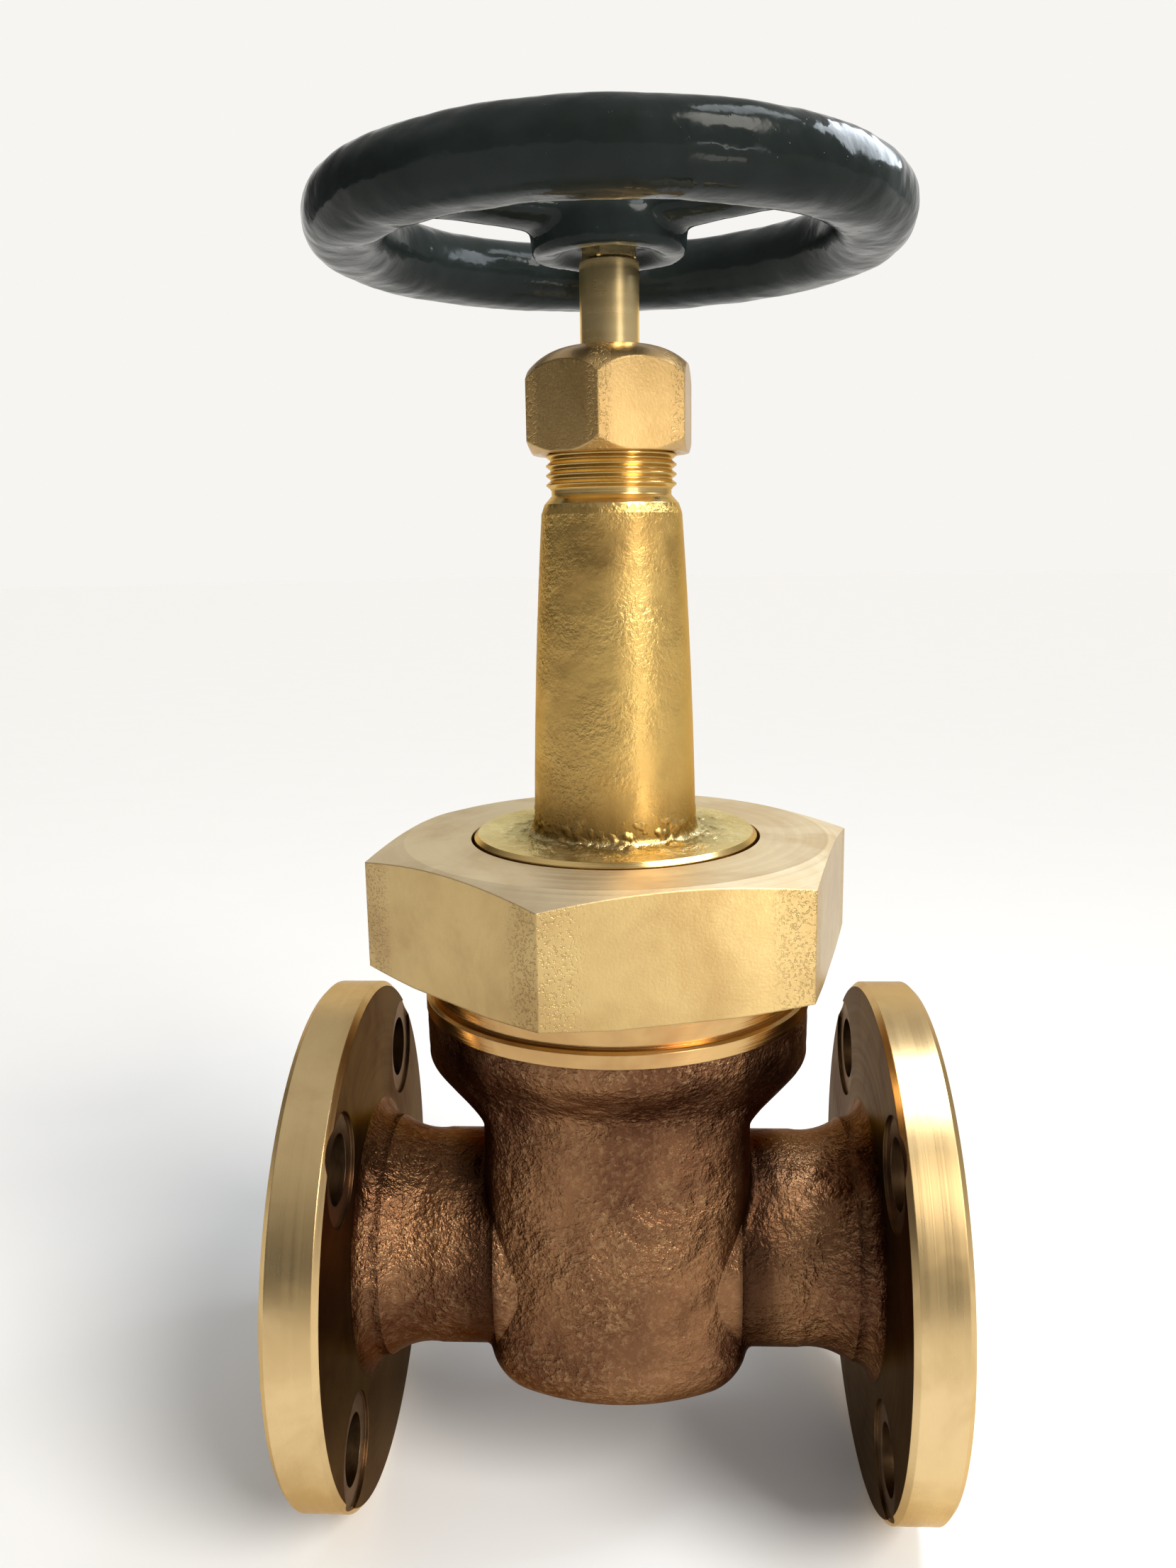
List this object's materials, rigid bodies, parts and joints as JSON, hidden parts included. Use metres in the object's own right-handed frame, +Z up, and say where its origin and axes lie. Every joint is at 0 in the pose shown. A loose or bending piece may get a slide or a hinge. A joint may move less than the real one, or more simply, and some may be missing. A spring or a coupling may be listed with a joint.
{
  "type": "flanged gate valve",
  "caption": "Small flanged bronze gate valve with a screwed union bonnet, a rising inside-screw stem, a wedge between seat rings and a black handwheel.",
  "frame": {"origin": "centre of the inlet flange's face", "axes": "+X along the pipe from inlet to outlet, +Z up along the stem, -Y is the side shown in the reference view"},
  "size_m": [0.14, 0.1248, 0.303],
  "materials": {
    "cast_bronze": "sand cast, rough",
    "cast_brass": "fine sand cast",
    "machined_brass": "machined satin",
    "stem_brass": "turned smooth",
    "seat_bronze": "machined",
    "gasket_sheet": "compressed fibre sheet",
    "packing_cord": "braided graphite cord",
    "black_enamel": "gloss enamel",
    "plated_steel": "zinc plated"
  },
  "bodies": {
    "valve_body": {"body": "cast_bronze", "seat_ring_inlet": "seat_bronze", "seat_ring_outlet": "seat_bronze", "bonnet": "cast_brass", "bonnet_gasket": "gasket_sheet", "union_nut": "machined_brass", "packing_washer": "machined_brass", "packing_ring_1": "packing_cord", "packing_ring_2": "packing_cord", "packing_ring_3": "packing_cord", "packing_ring_4": "packing_cord", "packing_gland": "machined_brass", "packing_nut": "machined_brass"},
    "gate": {"wedge": "seat_bronze"},
    "stem": {"stem": "stem_brass", "handwheel": "black_enamel", "handwheel_washer": "plated_steel", "handwheel_spring_washer": "plated_steel", "handwheel_nut": "plated_steel"}
  },
  "joints": [
    {"name": "gate_lift", "type": "slide", "parent": "valve_body", "child": "gate", "axis": [0, 0, 1], "range_m": [0, 0.045]},
    {"name": "handwheel_turn", "type": "hinge", "parent": "gate", "child": "stem", "pos_m": [0.07, 0, 0.2279], "axis": [0, 0, 1], "range_deg": [0, 5400]}
  ],
  "couplings": [
    {"joint": "gate_lift", "follows": "handwheel_turn", "m_per_rad": 0.00047746}
  ]
}
